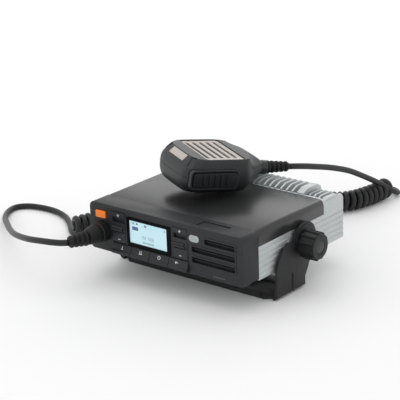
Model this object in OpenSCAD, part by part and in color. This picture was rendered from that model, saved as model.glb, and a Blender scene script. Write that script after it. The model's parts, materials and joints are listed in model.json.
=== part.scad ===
// Compact mobile transceiver on a tilting bracket, with its palm microphone lying on the cover.
// Origin: centre of the bracket's bolt holes, on the surface that it stands on. -Y is the front.

/* [Radio body] */
// Width of the front panel
panel_w = 164; // [160:1:170]
// Height of the front panel
panel_h = 42; // [41:1:44]
// Depth of the front panel
panel_d = 19.7; // [18:0.1:22]
// Distance from the front face to the rear of the heatsink
body_d = 139.4; // [136:0.2:146]
// Distance from the front face to the rear edge of the cover
cover_rear_d = 110.6; // [108:0.2:113]
// Height of the body's underside above the surface
body_lift = 24; // [23:0.5:28]
// Radius of the body's long edges
edge_r = 5; // [3:0.5:6]

/* [Bracket] */
// Thickness of the bracket's steel
steel_t = 2.5; // [2:0.1:3]
// Height of the tilt axis above the surface
pivot_z = 39.6; // [38:0.2:44]
// Distance from the front face to the tilt axis
pivot_d = 75.2; // [72:0.2:80]
// Radius of the bracket's pivot disc
disc_r = 14.5; // [13:0.5:15]
// Hole spacing across the bracket
bolt_dx = 60; // [56:1:64]
// Hole spacing from front to back
bolt_dy = 48; // [46:1:52]
// Diameter of the bracket's bolt holes
bolt_hole_d = 5.4; // [4.4:0.1:6.4]

/* [Thumb knobs] */
// Outer radius over the lobes
knob_r = 12.6; // [12:0.1:14]
// Length of the knob
knob_len = 16; // [14:0.5:18]
// Number of lobes
knob_lobes = 11; // [9:1:12]

/* [Microphone] */
// Heading of the microphone's long axis
mic_heading = 66; // [60:1:70]
// Slope of its face down towards the cord
mic_slope = 9; // [8:0.5:10]
// Roll that lifts the side away from its talk button
mic_roll = 3; // [0:0.5:3]
// Thickness of its case
mic_t = 30; // [28:1:31]

/* [Cord] */
// Diameter of the cord
cord_d = 5.4; // [5:0.1:5.6]
// Outer diameter of the curly stretch
coil_od = 19.2; // [17:0.2:20]

/* [Hidden] */
$fn = 48;
e = 0.01;
front_y = -70;
z0 = body_lift;
top_z = z0 + panel_h;
seam_y = front_y + panel_d;
cover_y = front_y + cover_rear_d;
rear_y = front_y + body_d;
pivot_y = front_y + pivot_d;
disc_y = front_y + 78.4;
disc_z = 42.3;
plate_rear = front_y + 77;
half_w = panel_w / 2;
case_w = panel_w - 0.6;
skirt_z = z0 + 28.7;
wall = 2.2;
face_t = 2.5;
tray_t = 3;
wall_in = case_w / 2 - tray_t;
fin_floor_z = z0 + 31;
tall_fin_z = z0 + 45.5;
low_fin_z = z0 + 39;
stud_r = 3;
boss_r = 7;
groove_pitch = 4.85;
groove_r = 0.75;
arm_in = half_w + 1.5;
arm_out = arm_in + steel_t;
plate_half = 81;
jack_x = -67;
jack_z = 42;
rocker_z = 48;
rocker_y = -66;
rocker_w = 14.9;
scoop = [4.4, 8.6];
rocker_h = 26.4;
rocker_xs = [-50, 16.8];
window_x = -16.7;
window_z = 47.1;
window_w = 48;
window_h = 26;
lcd_w = 40.8;
lcd_h = 19.8;
lcd_x = -17.8;
lcd_z = 47.2;
key_xs = [-46.6, -26, -5.4, 15.2];
key_w = 20.34;
recess_x = [-56.9, 25.5];
key_top_z = 33.7;
orange_x = -69.4;
orange_z = 56.3;
foot_r = 2.8;
lamp_x = 32;
lamp_z = 55.4;
slots = [[42.9, 73.7, 55.2], [29.5, 73.7, 46.2], [29.5, 73.7, 37.2]];
slot_h = 4.8;
speaker_x = 52;
speaker_z = 45;
speaker_r = 18;
board_z = 33;
board_t = 1.6;
aerial_x = -52;
power_x = 42;
data_x = -4;
port_z = 40;
mic_pos = [-14.5, 13.5, 99.5];
mic_w = 62;
talk_w = -16;
neck_u = 55;
part_w = -15;
neck_w = -16;
label_tilt = 43.7;
pips = [[-7.4, 48.6], [-10.1, 44.5]];
mic_screw_spots = [[-24, 15, -mic_t], [-24, -15, -mic_t], [24, 0, -28]];

// Free stretch from the plug to the curly part, as round points on its centre line
loop_route = [[-72, -109, 42], [-77, -113, 42], [-85, -115, 41.5], [-98, -115, 40], [-114, -112, 37],
    [-133, -104, 32.5], [-153, -93, 27.5], [-173, -79, 22.5], [-192, -64, 17.5], [-210, -49, 12.5],
    [-227, -35, 8], [-241, -21, 4.8], [-251.5, -6, 3.1], [-253, 6, 2.9], [-244, 14.5, 2.9], [-228, 18, 2.9],
    [-212, 17.5, 2.9], [-194, 11.5, 2.9], [-177.5, 0, 2.9], [-161, -13, 3.1]];
// Axis of the curly stretch, which lies beside and behind the radio
coil_route = [[-156, -17, 9.7], [-152.2, -5.5, 9.7], [-146.5, 10, 9.7], [-137, 36, 9.7], [-123, 68, 9.7],
    [-103, 97, 9.7], [-79, 122, 9.7], [-53, 141, 9.7], [-28, 154, 9.7], [-8, 164, 9.7], [8, 174, 9.7],
    [16, 186, 9.7], [20, 202, 9.7], [22, 218, 9.7], [23.5, 236, 9.7]];
// Free stretch from the curly part up to the microphone
lead_route = [[26.5, 240, 5.5], [28.2, 233, 9], [26.6, 224, 14.2], [24, 213, 20.5], [22.6, 200, 28],
    [22.2, 185, 36], [22, 168, 44.5], [21.8, 150, 51.7], [21.6, 132, 58], [21.2, 114, 63.5],
    [20.2, 101, 67.3], [18.5, 90, 70.05], [15.39, 82.7, 71.38]];

// ---------- outlines and sweeps ----------

// Rectangle with round corners, centred on the origin
module rrect(w, h, r) {
    square([w - 2 * r, h], center = true);
    square([w, h - 2 * r], center = true);
    for (x = [-1, 1], z = [-1, 1])
        translate([x * (w / 2 - r), z * (h / 2 - r)]) circle(r);
}

// Outline drawn in X and Z, carried from y_low to y_high
module along_y(y_low, y_high) {
    translate([0, y_high, 0]) rotate([90, 0, 0]) linear_extrude(y_high - y_low) children();
}

// Rounded block facing the front: centre x, centre z, width, height, radius, from y_low to y_high
module front_block(x, z, w, h, r, y_low, y_high) {
    along_y(y_low, y_high) translate([x, z]) rrect(w, h, r);
}

module box(low, high) {
    translate(low) cube(high - low);
}

// Outline of the body's section, with its long edges rounded
module body_section(w, low, high, r) {
    translate([0, (low + high) / 2]) rrect(w, high - low, r);
}

// Screw with a countersunk or pan head, standing along +Z from its tip
module screw(r, len, head_r, head_h) {
    cylinder(r = r, h = len + e);
    translate([0, 0, len]) difference() {
        cylinder(r = head_r, h = head_h);
        translate([0, 0, head_h / 2]) cylinder(r = head_r / 2.2, h = head_h, $fn = 6);
    }
}

function unit(v) = v / norm(v);
function spline_point(a, b, c, d, t) = 0.5 * ((2 * b) + (c - a) * t + (2 * a - 5 * b + 4 * c - d) * t * t
    + (3 * b - a - 3 * c + d) * t * t * t);
function spline(p, steps) = let (n = len(p), q = concat([2 * p[0] - p[1]], p, [2 * p[n - 1] - p[n - 2]]))
    concat([for (i = [1:n - 1], k = [0:steps - 1])
        spline_point(q[i - 1], q[i], q[i + 1], q[i + 2], k / steps)], [p[n - 1]]);
function tangent(p, i) = unit(p[min(i + 1, len(p) - 1)] - p[max(i - 1, 0)]);
function side(t) = unit(cross([0, 0, 1], t));
function ring(c, t, r, n) = let (s = side(t), u = cross(t, s))
    [for (k = [0:n - 1]) c + r * (cos(360 * k / n) * s + sin(360 * k / n) * u)];

// Round tube along a smooth curve through the points of a route
module tube(route, r, n, steps) {
    p = spline(route, steps);
    m = len(p);
    rings = [for (i = [0:m - 1]) each ring(p[i], tangent(p, i), r, n)];
    sides = [for (i = [0:m - 2], k = [0:n - 1])
        [i * n + k, (i + 1) * n + k, (i + 1) * n + (k + 1) % n, i * n + (k + 1) % n]];
    polyhedron(rings, concat(sides, [[for (k = [0:n - 1]) k]],
        [[for (k = [n - 1:-1:0]) (m - 1) * n + k]]), convexity = 6);
}

// ---------- radio ----------

module heat_fin(x, w, high) {
    translate([x + w / 2, 0, 0]) rotate([0, -90, 0]) linear_extrude(w)
        polygon([[fin_floor_z - 1, cover_y + 1.5], [high - 3, cover_y + 1.5], [high, cover_y + 9],
            [high - 0.5, rear_y - 6], [high - 3, rear_y - 2], [high - 8, rear_y],
            [fin_floor_z - 1, rear_y]]);
}

module chassis() {
    rear_in = rear_y - tray_t;
    color("silver") difference() {
        union() {
            difference() {
                box([-case_w / 2, seam_y + 0.1, z0], [case_w / 2, rear_y, skirt_z - 0.1]);
                box([-wall_in, seam_y, z0 + tray_t], [wall_in, rear_in, skirt_z + e]);
            }
            for (s = [-1, 1]) {
                box([min(s * wall_in, s * 79), seam_y + 0.1, skirt_z - 0.2],
                    [max(s * wall_in, s * 79), cover_y, top_z - 7]);
                translate([s * wall_in, pivot_y, pivot_z]) rotate([0, -s * 90, 0])
                    cylinder(r = boss_r, h = 8);
            }
            box([-wall_in, cover_y - 6, fin_floor_z - tray_t], [wall_in, rear_y, fin_floor_z]);
            box([-wall_in, rear_in, skirt_z - 0.2], [wall_in, rear_y, fin_floor_z]);
            along_y(cover_y + 0.2, cover_y + 2.4) intersection() {
                body_section(case_w - 0.6, z0, top_z - 0.5, edge_r);
                translate([0, skirt_z + 10]) square([case_w, 20.2], center = true);
            }
            for (s = [-1, 1])
                along_y(cover_y + 0.2, rear_y) intersection() {
                    body_section(case_w, z0, low_fin_z - 0.5, 3);
                    translate([s * (case_w / 2 - 2), (skirt_z + low_fin_z) / 2 - 1])
                        square([4, low_fin_z - skirt_z + 4], center = true);
                }
            for (k = [-8:8]) heat_fin(k * 6, 1.8, tall_fin_z);
            for (s = [-1, 1]) {
                heat_fin(s * 56.5, 7, tall_fin_z);
                for (k = [0:2]) heat_fin(s * (62.8 + 5 * k), 1.6, low_fin_z + 2.5);
                heat_fin(s * 77.5, 4, low_fin_z + 1.5);
            }
            for (x = [-68, 68], y = [-40, 34])
                translate([x, y, z0 + tray_t - e]) cylinder(r = 3.5, h = board_z - z0 - tray_t);
            for (s = [-1, 1], p = pips) translate([s * (case_w / 2 - 1), p[0], p[1]])
                rotate([0, s * 90, 0]) cylinder(r = 0.9, h = 1.6);
        }
        for (s = [-1, 1], k = [0:4])
            translate([s * (case_w / 2 + 0.2), seam_y - 1, z0 + 4.6 + k * groove_pitch])
                rotate([-90, 0, 0]) cylinder(r = groove_r, h = body_d, $fn = 16);
        for (s = [-1, 1]) translate([s * 70, pivot_y, pivot_z]) rotate([0, s * 90, 0])
            cylinder(r = stud_r + 0.05, h = 13);
        for (x = [-68, 68], y = [-40, 34])
            translate([x, y, z0 + 1.5]) cylinder(r = 1.3, h = 12);
        for (x = [-60, 60], y = [-30, 48])
            translate([x, y, z0 - e]) cylinder(r1 = 2.9, r2 = 1.6, h = tray_t + 1);
        translate([aerial_x, rear_in - 1, port_z]) rotate([-90, 0, 0]) cylinder(r = 6.3, h = 6);
        front_block(power_x, port_z, 22, 13, 1.5, rear_in - 1, rear_y + 1);
        front_block(data_x, port_z, 40, 12, 2, rear_in - 1, rear_y + 1);
    }
}

module top_cover() {
    color("dimgray") difference() {
        along_y(seam_y + 0.4, cover_y) difference() {
            body_section(panel_w - 0.2, z0, top_z - 0.3, edge_r);
            body_section(panel_w - 0.2 - 2 * wall, z0, top_z - 0.3 - wall, edge_r - wall);
        }
        box([-half_w - 1, seam_y - 1, z0 - 1], [half_w + 1, cover_y + 1, skirt_z]);
    }
}

module rocker_cut(x) {
    front_block(x, rocker_z, rocker_w + 0.6, rocker_h + 1, 1, front_y - 1, seam_y - 5);
}

module front_panel() {
    color([0.23, 0.24, 0.25]) difference() {
        union() {
            difference() {
                along_y(front_y, seam_y) {
                    body_section(panel_w, z0, top_z, edge_r);
                    body_section(panel_w, z0, z0 + panel_h / 2, foot_r);
                }
                along_y(front_y + face_t, seam_y + 1)
                    body_section(panel_w - 2 * wall, z0 + wall, top_z - wall, edge_r - wall);
            }
            for (x = rocker_xs, s = [-1, 1])
                box([x + s * (rocker_w / 2 + 1.1) - 0.8, front_y + face_t - e, rocker_z - 3],
                    [x + s * (rocker_w / 2 + 1.1) + 0.8, rocker_y + 2, rocker_z + 3]);
            box([recess_x[0] - 1, front_y, z0], [recess_x[1] + 1, front_y + face_t + 2, key_top_z + 0.5]);
            for (c = slots)
                front_block((c[0] + c[1]) / 2, c[2], c[1] - c[0] + 2.6, slot_h + 2.6, 1, front_y - 0.5,
                    front_y + 1);
        }
        box([recess_x[0], front_y - 1, z0 - 1], [recess_x[1], front_y + 2, key_top_z + 0.5]);
        for (x = key_xs) box([x - 6.3, front_y - 1, 27.2], [x + 6.3, front_y + 8, 32.3]);
        for (x = rocker_xs) {
            rocker_cut(x);
            translate([x - 10, rocker_y, rocker_z]) rotate([0, 90, 0]) cylinder(r = 1.05, h = 20);
        }
        front_block(window_x, window_z, window_w + 0.2, window_h + 0.2, 1.2, front_y - 1, front_y + 0.8);
        front_block(window_x, window_z, window_w - 2, window_h - 2, 1, front_y - 1, front_y + 9);
        front_block(orange_x, orange_z, 11.3, 6.8, 1, front_y - 1, front_y + 9);
        front_block(lamp_x, lamp_z, 10.5, 6.1, 2.95, front_y - 1, front_y + 9);
        for (c = slots)
            front_block((c[0] + c[1]) / 2, c[2], c[1] - c[0], slot_h, 0.6, front_y - 1, front_y + 9);
        translate([jack_x, front_y - 1, jack_z]) rotate([-90, 0, 0]) cylinder(r = 7.6, h = 9);
        box([31, front_y + 4.6, top_z - 0.9], [59, front_y + 15, top_z + 1]);
        box([recess_x[1] - 0.3, front_y - 1, z0 - 1], [recess_x[1] + 0.3, front_y + 0.4, 50]);
    }
    color([0.2, 0.21, 0.22]) for (c = slots)
        box([c[0] - e, front_y + 1.4, c[2] - 0.3], [c[1] + e, front_y + 2.4, c[2] + 0.3]);
}

module display_window() {
    color([0.1, 0.11, 0.13]) front_block(window_x, window_z, window_w, window_h, 1, front_y - 0.3,
        front_y + 0.7);
}

module display_gasket() {
    color("black") difference() {
        front_block(window_x, window_z, window_w - 2.6, window_h - 2.6, 1, front_y + 0.75, front_y + 1.15);
        front_block(lcd_x, lcd_z, lcd_w, lcd_h, 0.4, front_y, front_y + 4);
    }
}

module lcd_module() {
    color("lightcyan") front_block(lcd_x, lcd_z, lcd_w + 2, lcd_h + 2.6, 0.5, front_y + 1.2,
        front_y + 4.7);
}

module indicator_lens() {
    color("lightgray") front_block(lamp_x, lamp_z, 10.2, 5.8, 2.8, front_y - 0.7, front_y + 2.4);
}

module speaker_mesh() {
    color("black") front_block(speaker_x, 46.2, 52, 27, 2, front_y + face_t + 0.1, front_y + face_t + 0.6);
}

module speaker() {
    color("dimgray") translate([speaker_x, front_y + face_t + 0.8, speaker_z]) rotate([-90, 0, 0])
        difference() {
            union() {
                cylinder(r = speaker_r, h = 2);
                translate([0, 0, 1.9]) cylinder(r1 = speaker_r - 3, r2 = 10, h = 4.2);
                translate([0, 0, 6]) cylinder(r = 9, h = 6);
            }
            translate([0, 0, -e]) cylinder(r1 = speaker_r - 2.5, r2 = 5, h = 3.5);
        }
}

module mic_jack() {
    color([0.15, 0.15, 0.16]) translate([jack_x, front_y, jack_z]) rotate([-90, 0, 0]) difference() {
        union() {
            translate([0, 0, -1.1]) cylinder(r = 8.7, h = 1);
            translate([0, 0, -0.2]) cylinder(r = 7.5, h = 12);
        }
        translate([0, 0, -2]) cylinder(r = 6.2, h = 12.5);
    }
}

module keypad_board() {
    color("darkgreen") difference() {
        front_block(0, 45, 152, 34, 1, front_y + 14.6, front_y + 16);
        translate([speaker_x, front_y, speaker_z]) rotate([-90, 0, 0]) cylinder(r = 10, h = 30);
        translate([jack_x, front_y, jack_z]) rotate([-90, 0, 0]) cylinder(r = 8, h = 30);
    }
}

module main_board() {
    color("darkgreen") difference() {
        box([-73, seam_y + 2, board_z], [73, cover_y - 4, board_z + board_t]);
        for (s = [-1, 1]) box([s * 72 - 9, pivot_y - 9, board_z - 1], [s * 72 + 9, pivot_y + 9, board_z + 3]);
        for (x = [-68, 68], y = [-40, 34]) translate([x, y, board_z - 1]) cylinder(r = 1.6, h = 4);
    }
}

module rf_shield() {
    color("gainsboro") difference() {
        box([-44, -34, board_z + board_t], [20, 22, board_z + board_t + 6]);
        box([-43.5, -33.5, board_z + board_t - e], [19.5, 21.5, board_z + board_t + 5.5]);
    }
}

module power_transistor() {
    color([0.2, 0.2, 0.2]) box([30, 26, board_z + board_t], [50, 36, board_z + board_t + 4]);
}

module board_screws() {
    color("silver") for (x = [-68, 68], y = [-40, 34])
        translate([x, y, board_z + board_t - 6]) screw(1.25, 6, 2.6, 1.6);
}

module bottom_screws() {
    color("dimgray") for (x = [-60, 60], y = [-30, 48])
        translate([x, y, z0 + 0.2]) difference() {
            union() {
                cylinder(r1 = 2.7, r2 = 1.5, h = 2.6);
                cylinder(r = 1.5, h = 7);
            }
            translate([0, 0, -e]) cylinder(r = 1.2, h = 1.2, $fn = 6);
        }
}

module antenna_connector() {
    color("gold") translate([aerial_x, rear_y, port_z]) rotate([-90, 0, 0]) difference() {
        union() {
            translate([0, 0, -7]) cylinder(r = 6.1, h = 7.1);
            translate([0, 0, 0.05]) cylinder(r = 7.4, h = 1.6);
            cylinder(r = 4.85, h = 12);
            for (a = [0, 180]) rotate([0, 0, a]) translate([4, 0, 8]) rotate([0, 90, 0]) cylinder(r = 1, h = 1.9);
        }
        translate([0, 0, 2]) cylinder(r = 4.1, h = 11);
    }
    color("gold") translate([aerial_x, rear_y + 1.9, port_z]) rotate([-90, 0, 0]) cylinder(r = 1.1, h = 6);
}

module power_inlet() {
    color([0.12, 0.12, 0.12]) difference() {
        front_block(power_x, port_z, 21.8, 12.8, 1.4, rear_y - 12, rear_y + 3);
        for (s = [-1, 1])
            front_block(power_x + s * 5, port_z, 8.4, 7.4, 1, rear_y - 8, rear_y + 4);
    }
    color("gold") for (s = [-1, 1]) box([power_x + s * 5 - 2.6, rear_y - 8 - e, port_z - 0.5],
        [power_x + s * 5 + 2.6, rear_y + 1, port_z + 0.5]);
}

module data_connector() {
    color([0.14, 0.14, 0.15]) difference() {
        front_block(data_x, port_z, 39.8, 11.8, 2, rear_y - 8, rear_y + 4);
        front_block(data_x, port_z, 36, 8, 1.6, rear_y - 3, rear_y + 5);
    }
    color("gold") box([data_x - 16, rear_y - 3 - e, port_z - 1.2], [data_x + 16, rear_y + 3, port_z + 1.2]);
}

module pivot_washers() {
    color([0.1, 0.1, 0.1]) for (s = [-1, 1])
        translate([s * (case_w / 2 + 0.05), pivot_y, pivot_z]) rotate([0, s * 90, 0]) difference() {
            cylinder(r = 10, h = arm_in - case_w / 2 - 0.1);
            translate([0, 0, -1]) cylinder(r = stud_r + 0.4, h = 5);
        }
}

// Key cap with a sloping front and a lip along its lower edge, and its stem through the panel
module front_key(x) {
    color([0.24, 0.24, 0.25]) {
        translate([x - key_w / 2, 0, 0]) rotate([90, 0, 90]) linear_extrude(key_w)
            polygon([[front_y + 0.8, key_top_z], [front_y - 0.4, key_top_z], [front_y - 2, 28.6],
                [front_y - 3.4, 27.6], [front_y - 3.5, 25.6], [front_y - 2.2, z0 + 0.6],
                [front_y + 0.8, z0 + 0.6]]);
        box([x - 6, front_y + 0.7, 27.5], [x + 6, front_y + 13, 32]);
    }
}

module emergency_key() {
    color("darkorange") {
        front_block(orange_x, orange_z, 10.7, 6.2, 0.8, front_y - 1.2, front_y + 6);
        box([orange_x - 3, front_y + 5.9, orange_z - 2], [orange_x + 3, front_y + 13, orange_z + 2]);
    }
}

// See-saw key with a scooped upper half, two ridges across its middle and its own axle
module rocker(x) {
    color([0.25, 0.26, 0.27]) {
        difference() {
            union() {
                front_block(x, rocker_z, rocker_w, rocker_h, 0.8, front_y - 0.1, front_y + 3);
                for (dz = [-0.3, -2.4])
                    translate([x - rocker_w / 2 + 0.4, front_y - 0.2, rocker_z + dz]) rotate([0, 90, 0])
                        cylinder(r = 1.1, h = rocker_w - 3);
            }
            box([x - rocker_w / 2 + 0.9, front_y - 2, rocker_z + scoop[0]],
                [x + rocker_w / 2 - 0.6, front_y + 2.5, rocker_z + scoop[1]]);
            box([x - rocker_w / 2 + 1, front_y - 2, rocker_z - 4.6],
                [x + rocker_w / 2 - 0.6, front_y + 0.7, rocker_z - 3.5]);
        }
        box([x - 5, front_y + 2.9, rocker_z - 2.4], [x + 5, rocker_y + 2, rocker_z + 2.4]);
        translate([x - rocker_w / 2 - 1.7, rocker_y, rocker_z]) rotate([0, 90, 0])
            cylinder(r = 1, h = rocker_w + 3.4);
        for (s = [-1, 1]) box([x - 2, front_y + 2.9, rocker_z + s * 8 - 1], [x + 2, front_y + 12.6, rocker_z + s * 8 + 1]);
    }
}

// ---------- bracket and knobs ----------

module bracket_arm_outline() {
    low = steel_t;
    polygon([[front_y + 38, low], [front_y + 38.6, 27], [front_y + 41.5, 34], [front_y + 45.5, 39.5],
        [front_y + 49.2, 42.8], [front_y + 53, 44.2], [disc_y - 15.8, 44.2], [disc_y - 14.7, 50],
        [disc_y - 10, 54], [disc_y, disc_z], [disc_y + 13.8, disc_z + 4.4], [disc_y + 5.6, 22],
        [disc_y + 2.2, 15.5], [plate_rear, 10], [plate_rear, low]]);
    translate([disc_y, disc_z]) circle(disc_r);
}

module mounting_bracket() {
    plate_front = front_y + 36;
    color([0.22, 0.22, 0.23]) difference() {
        union() {
            linear_extrude(steel_t) union() {
                polygon([[-73.4, plate_front], [73.4, plate_front], [plate_half, plate_front + 6],
                    [plate_half, plate_rear - 2], [plate_half - 2, plate_rear], [44, plate_rear],
                    [42, plate_rear + 2], [42, 31], [39, 34], [-39, 34], [-42, 31], [-42, plate_rear + 2],
                    [-44, plate_rear], [2 - plate_half, plate_rear], [-plate_half, plate_rear - 2],
                    [-plate_half, plate_front + 6]]);
                for (s = [-1, 1]) translate([s * plate_half - 1, plate_front + 7.5])
                    square([2, plate_rear - plate_front - 10]);
            }
            for (s = [-1, 1]) {
                translate([s > 0 ? arm_in : -arm_out, 0, 0]) rotate([90, 0, 90]) linear_extrude(steel_t)
                    bracket_arm_outline();
                along_y(front_y + 38, plate_rear) intersection() {
                    translate([s * (arm_out - 5), 5]) difference() {
                        circle(5);
                        circle(5 - steel_t);
                    }
                    translate([s * (arm_out - 2.5), 2.5]) square(5, center = true);
                }
                translate([s * arm_out - (s > 0 ? 0.1 : -0.1), disc_y, disc_z]) rotate([0, s * 90, 0])
                    cylinder(r = disc_r - 1.5, h = 0.9);
                box([min(s * (arm_out - 0.1), s * (arm_out + 0.7)), front_y + 59.5, 4],
                    [max(s * (arm_out - 0.1), s * (arm_out + 0.7)), front_y + 61, 18]);
            }
            box([-70, plate_front, steel_t - 0.1], [70, plate_front + 1.6, steel_t + 1.2]);
        }
        for (x = [-1, 1], y = [-1, 1]) translate([x * bolt_dx / 2, y * bolt_dy / 2, -1])
            cylinder(d = bolt_hole_d, h = 6);
        for (s = [-1, 1]) {
            translate([s * 58, -14, 1.6]) cylinder(r = 11, h = 3);
            translate([s * 80, pivot_y, pivot_z]) rotate([0, s * 90, 0])
                cylinder(r = stud_r + 0.35, h = 12);
        }
    }
}

// Lobed thumb knob on one side; its clamping screw and end cap are pieces of their own
module knob(s) {
    color([0.2, 0.2, 0.21]) translate([s * (arm_out + 1), pivot_y, pivot_z]) rotate([0, s * 90, 0])
        difference() {
            union() {
                cylinder(r = knob_r - 3.4, h = 2.2);
                translate([0, 0, 2]) cylinder(r1 = knob_r - 1.3, r2 = knob_r - 2, h = knob_len - 2);
                for (k = [0:knob_lobes - 1]) rotate([0, 0, (k + 0.5) * 360 / knob_lobes])
                    translate([knob_r - 1.7, 0, 2]) cylinder(r1 = 1.7, r2 = 1.3, h = knob_len - 3);
            }
            translate([0, 0, knob_len - 1.2]) cylinder(r = 6.1, h = 2);
            translate([0, 0, -1]) cylinder(r = stud_r + 0.02, h = 10);
        }
}

module stud(s) {
    color("silver") translate([s * 72, pivot_y, pivot_z]) rotate([0, s * 90, 0])
        cylinder(r = stud_r, h = arm_out + 9.5 - 72);
}

module knob_cap(s) {
    color([0.26, 0.26, 0.27]) translate([s * (arm_out + knob_len), pivot_y, pivot_z]) rotate([0, s * 90, 0])
        translate([0, 0, -0.2]) cylinder(r = 5.8, h = 1.1);
}

// ---------- plug and cord ----------

relief_base = [jack_x, front_y - 22, jack_z];

module plug_lock_ring() {
    color([0.16, 0.16, 0.17]) translate([jack_x, front_y - 1.4, jack_z]) rotate([90, 0, 0]) difference() {
        union() {
            cylinder(r = 8.8, h = 4);
            for (k = [0:17]) rotate([0, 0, k * 20]) translate([8.7, 0, 0.4]) cylinder(r = 0.45, h = 3.2, $fn = 16);
        }
        translate([0, 0, -1]) cylinder(r = 6, h = 6);
    }
}

module plug_shell() {
    color([0.12, 0.12, 0.13]) translate([jack_x, front_y, jack_z]) rotate([90, 0, 0]) {
        translate([0, 0, -8]) cylinder(r = 5.95, h = 14);
        translate([0, 0, 5.6]) cylinder(r1 = 8.6, r2 = 6.1, h = 16.4);
    }
}

module plug_contacts() {
    color("gold") for (k = [0:7]) translate([jack_x, front_y, jack_z]) rotate([0, k * 45, 0])
        translate([4, 8 - e, 0]) rotate([-90, 0, 0]) cylinder(r = 0.5, h = 2);
}

// Ribbed, tapering sleeve whose base is at the origin and which runs along +Z
module strain_relief(r1, r2, length, ribs) {
    cylinder(r1 = r1 * 0.8, r2 = r2 * 0.8, h = length);
    step = length / ribs;
    for (k = [0:ribs - 1]) translate([0, 0, (k + 0.15) * step])
        cylinder(r1 = r1 + (r2 - r1) * k / ribs, r2 = r1 + (r2 - r1) * (k + 0.55) / ribs, h = step * 0.55);
}

module plug_strain_relief() {
    color([0.12, 0.12, 0.13]) translate(relief_base) rotate([90, 0, -16.4])
        strain_relief(5.8, 4.4, 17.6, 4);
}

module cord_front_loop() {
    color([0.2, 0.2, 0.21]) tube(loop_route, cord_d / 2, 8, 2);
}

module cord_coil() {
    color([0.2, 0.2, 0.21]) tube(coil_route, coil_od / 2, 12, 1);
}

module cord_mic_lead() {
    color([0.2, 0.2, 0.21]) tube(lead_route, cord_d / 2, 8, 2);
}

// ---------- microphone ----------
// Its own frame: +X from head to cord, +Y away from the talk button, +Z out of the grille, whose face is z = 0

module mic_place() {
    translate(mic_pos) rotate([mic_roll, mic_slope, mic_heading]) children();
}

// Plan outline shrunk evenly by an inset, with its head and tail at given distances after that
module mic_plan(inset, head, tail) {
    w = mic_w / 2;
    h = -head - inset;
    t = tail + inset;
    k = (t - 22) / 32;
    half = [[h, 19.5], [h + 2.4, 26], [h + 6, 28.8], [-20, w - 0.3], [-8, w], [17, w], [25, w - 4],
        [22 + 12 * k, 19], [22 + 24 * k, 10.5], [t, 6.2]];
    offset(delta = -inset) polygon(concat(half, [for (i = [len(half) - 1:-1:0]) [half[i][0], -half[i][1]]]));
}

// Solid shape of the whole microphone, shrunk by an inset.
// Each level gives its height, how far its outline is drawn in, and where its head and tail end
module mic_solid(inset) {
    levels = [[-mic_t, 7, 32, 19], [-26, 2.2, 36, 31.5], [-20, 0, 37.5, 49.5], [-11, 0.2, 37.8, 49.5],
        [-5, 0.8, 35, 41], [-0.6, 1.4, 30.4, 33], [0.9, 2.2, 28.8, 30]];
    hull() for (l = levels)
        translate([0, 0, l[0] + (l[0] < part_w ? inset : -inset)]) linear_extrude(e)
            mic_plan(l[1] + inset, l[2] - inset, l[3] - inset);
    hull() for (n = [[42, 6.4], [neck_u, 5.8]])
        translate([n[0] - inset, 0, neck_w]) rotate([0, 90, 0]) cylinder(r = n[1] - inset, h = e, $fn = 24);
}

module mic_shell() {
    difference() {
        mic_solid(0);
        mic_solid(2);
        translate([neck_u - 5, 0, neck_w]) rotate([0, 90, 0]) cylinder(r = cord_d / 2 + 0.2, h = 12);
        box([-34, -mic_w / 2 - 5, talk_w - 9], [12, 6.5 - mic_w / 2, talk_w + 9]);
    }
}

module mic_front_shell() {
    color([0.2, 0.21, 0.22]) mic_place() difference() {
        union() {
            difference() {
                mic_shell();
                box([-80, -50, -50], [80, 50, part_w]);
            }
            for (p = mic_screw_spots) translate([p[0], p[1], p[2] + 3]) cylinder(r = 2.6, h = -3.2 - p[2]);
        }
        for (p = mic_screw_spots) translate([p[0], p[1], p[2]]) cylinder(r = 1.15, h = 11);
        translate([0, 0, -3]) linear_extrude(10) rrect(37, 55.4, 3);
        label_place() translate([0, 0, 1.2]) cube([6.8, 26, 4], center = true);
    }
}

module mic_back_shell() {
    color([0.22, 0.23, 0.24]) mic_place() difference() {
        mic_shell();
        box([-80, -50, part_w - 0.1], [80, 50, 10]);
        translate([-8, 0, -mic_t - 5]) cylinder(r = 1.6, h = 12);
        for (p = mic_screw_spots) translate([p[0], p[1], p[2] - 1]) {
            cylinder(r = 1.35, h = 12);
            cylinder(r = 2.5, h = 1.8);
        }
    }
}

module mic_grille() {
    color([0.81, 0.78, 0.76]) mic_place() difference() {
        translate([0, 0, -1.6]) linear_extrude(1.6) rrect(36.4, 54.8, 2.6);
        for (k = [0:4]) translate([-13.9 + 6.55 * k, 0.6, -3]) linear_extrude(6) rrect(3.3, 44.4, 1.6);
    }
}

module mic_cloth() {
    color("black") mic_place() translate([0, 0, -2.5]) linear_extrude(0.7) rrect(33, 49, 2);
}

// Centre of the sloping face between the grille and the head
module label_place() {
    translate([-31.9, 0, -2.05]) rotate([0, -label_tilt, 0]) children();
}

module mic_label_plate() {
    color([0.8, 0.78, 0.76]) mic_place() label_place() translate([0, 0, -0.25])
        cube([6.4, 25.4, 1], center = true);
}

module ptt_frame() {
    color([0.24, 0.25, 0.26]) mic_place() translate([-11, 4.2 - mic_w / 2, talk_w]) rotate([90, 0, 0])
        linear_extrude(4.8) difference() {
            rrect(45.6, 17.6, 4);
            rrect(42, 13.6, 3);
        }
}

module ptt_button() {
    color([0.2, 0.21, 0.22]) mic_place() {
        translate([-11, 3.4 - mic_w / 2, talk_w]) rotate([90, 0, 0]) linear_extrude(5) rrect(41.2, 12.8, 2.6);
        for (k = [0:4]) translate([5.6 * k - 22, -1.5 - mic_w / 2, talk_w]) rotate([90, 0, 0])
            linear_extrude(0.9) rrect(1.8, 9.6, 0.8);
    }
}

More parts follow.
